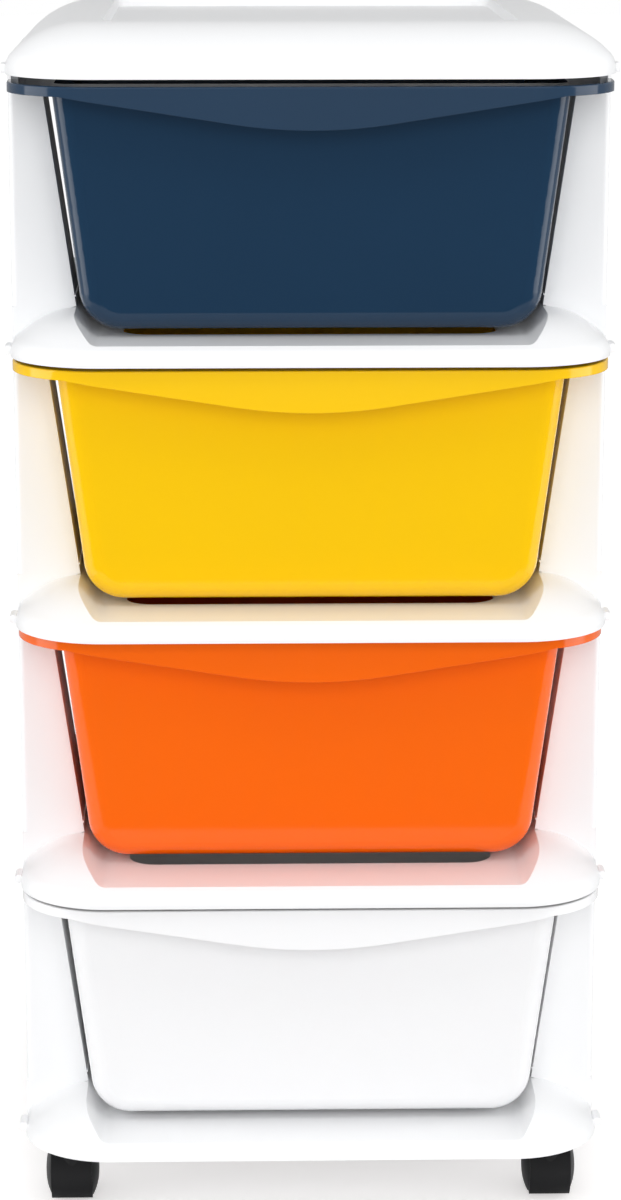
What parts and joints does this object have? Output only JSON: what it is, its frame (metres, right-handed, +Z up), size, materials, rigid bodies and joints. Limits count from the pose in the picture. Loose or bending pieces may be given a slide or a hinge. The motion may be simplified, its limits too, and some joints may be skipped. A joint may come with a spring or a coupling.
{
  "type": "plastic drawer tower",
  "caption": "Free-standing moulded plastic drawer tower on swivel casters, with bright pull-out drawers under a pillow-shaped lid.",
  "frame": {"origin": "centre of the footprint on the floor under the casters", "axes": "+Z up, -Y towards the drawer fronts, +X to the right seen from the front"},
  "size_m": [0.4, 0.38, 0.8006],
  "materials": {
    "white_body": "smooth, slightly glossy white moulding",
    "blue_drawer": "glossy dark blue moulding",
    "yellow_drawer": "glossy yellow moulding",
    "orange_drawer": "glossy orange moulding",
    "white_drawer": "glossy white moulding",
    "black_plastic": "satin black",
    "black_wheel": "satin black",
    "steel": "plain zinc-plated steel"
  },
  "bodies": {
    "frame": {"lid": "white_body", "shelf_1": "white_body", "shelf_2": "white_body", "shelf_3": "white_body", "base": "white_body", "side_panel_left_1": "white_body", "side_panel_right_1": "white_body", "side_panel_left_2": "white_body", "side_panel_right_2": "white_body", "side_panel_left_3": "white_body", "side_panel_right_3": "white_body", "side_panel_left_4": "white_body", "side_panel_right_4": "white_body"},
    "drawer_blue": {"drawer_blue": "blue_drawer"},
    "drawer_yellow": {"drawer_yellow": "yellow_drawer"},
    "drawer_orange": {"drawer_orange": "orange_drawer"},
    "drawer_white": {"drawer_white": "white_drawer"},
    "caster_front_left": {"caster_front_left_housing": "black_plastic", "caster_front_left_stem": "steel", "caster_front_left_axle": "steel"},
    "caster_front_left_wheel_left": {"caster_front_left_wheel_left": "black_wheel"},
    "caster_front_left_wheel_right": {"caster_front_left_wheel_right": "black_wheel"},
    "caster_front_right": {"caster_front_right_housing": "black_plastic", "caster_front_right_stem": "steel", "caster_front_right_axle": "steel"},
    "caster_front_right_wheel_left": {"caster_front_right_wheel_left": "black_wheel"},
    "caster_front_right_wheel_right": {"caster_front_right_wheel_right": "black_wheel"},
    "caster_rear_left": {"caster_rear_left_housing": "black_plastic", "caster_rear_left_stem": "steel", "caster_rear_left_axle": "steel"},
    "caster_rear_left_wheel_left": {"caster_rear_left_wheel_left": "black_wheel"},
    "caster_rear_left_wheel_right": {"caster_rear_left_wheel_right": "black_wheel"},
    "caster_rear_right": {"caster_rear_right_housing": "black_plastic", "caster_rear_right_stem": "steel", "caster_rear_right_axle": "steel"},
    "caster_rear_right_wheel_left": {"caster_rear_right_wheel_left": "black_wheel"},
    "caster_rear_right_wheel_right": {"caster_rear_right_wheel_right": "black_wheel"}
  },
  "joints": [
    {"name": "drawer_blue_slide", "type": "slide", "parent": "frame", "child": "drawer_blue", "axis": [0, -1, 0], "range_m": [-0.016, 0.24]},
    {"name": "drawer_yellow_slide", "type": "slide", "parent": "frame", "child": "drawer_yellow", "axis": [0, -1, 0], "range_m": [-0.0115, 0.2445]},
    {"name": "drawer_orange_slide", "type": "slide", "parent": "frame", "child": "drawer_orange", "axis": [0, -1, 0], "range_m": [-0.002, 0.254]},
    {"name": "drawer_white_slide", "type": "slide", "parent": "frame", "child": "drawer_white", "axis": [0, -1, 0], "range_m": [-0.013, 0.243]},
    {"name": "caster_front_left_swivel", "type": "hinge", "parent": "frame", "child": "caster_front_left", "pos_m": [-0.164, -0.138, 0.046], "axis": [0, 0, 1], "continuous": true},
    {"name": "caster_front_left_wheel_left_roll", "type": "hinge", "parent": "caster_front_left", "child": "caster_front_left_wheel_left", "pos_m": [-0.164, -0.125, 0.019], "axis": [1, 0, 0], "continuous": true},
    {"name": "caster_front_left_wheel_right_roll", "type": "hinge", "parent": "caster_front_left", "child": "caster_front_left_wheel_right", "pos_m": [-0.164, -0.125, 0.019], "axis": [1, 0, 0], "continuous": true},
    {"name": "caster_front_right_swivel", "type": "hinge", "parent": "frame", "child": "caster_front_right", "pos_m": [0.164, -0.138, 0.046], "axis": [0, 0, 1], "continuous": true},
    {"name": "caster_front_right_wheel_left_roll", "type": "hinge", "parent": "caster_front_right", "child": "caster_front_right_wheel_left", "pos_m": [0.164, -0.125, 0.019], "axis": [1, 0, 0], "continuous": true},
    {"name": "caster_front_right_wheel_right_roll", "type": "hinge", "parent": "caster_front_right", "child": "caster_front_right_wheel_right", "pos_m": [0.164, -0.125, 0.019], "axis": [1, 0, 0], "continuous": true},
    {"name": "caster_rear_left_swivel", "type": "hinge", "parent": "frame", "child": "caster_rear_left", "pos_m": [-0.164, 0.138, 0.046], "axis": [0, 0, 1], "continuous": true},
    {"name": "caster_rear_left_wheel_left_roll", "type": "hinge", "parent": "caster_rear_left", "child": "caster_rear_left_wheel_left", "pos_m": [-0.164, 0.151, 0.019], "axis": [1, 0, 0], "continuous": true},
    {"name": "caster_rear_left_wheel_right_roll", "type": "hinge", "parent": "caster_rear_left", "child": "caster_rear_left_wheel_right", "pos_m": [-0.164, 0.151, 0.019], "axis": [1, 0, 0], "continuous": true},
    {"name": "caster_rear_right_swivel", "type": "hinge", "parent": "frame", "child": "caster_rear_right", "pos_m": [0.164, 0.138, 0.046], "axis": [0, 0, 1], "continuous": true},
    {"name": "caster_rear_right_wheel_left_roll", "type": "hinge", "parent": "caster_rear_right", "child": "caster_rear_right_wheel_left", "pos_m": [0.164, 0.151, 0.019], "axis": [1, 0, 0], "continuous": true},
    {"name": "caster_rear_right_wheel_right_roll", "type": "hinge", "parent": "caster_rear_right", "child": "caster_rear_right_wheel_right", "pos_m": [0.164, 0.151, 0.019], "axis": [1, 0, 0], "continuous": true}
  ]
}
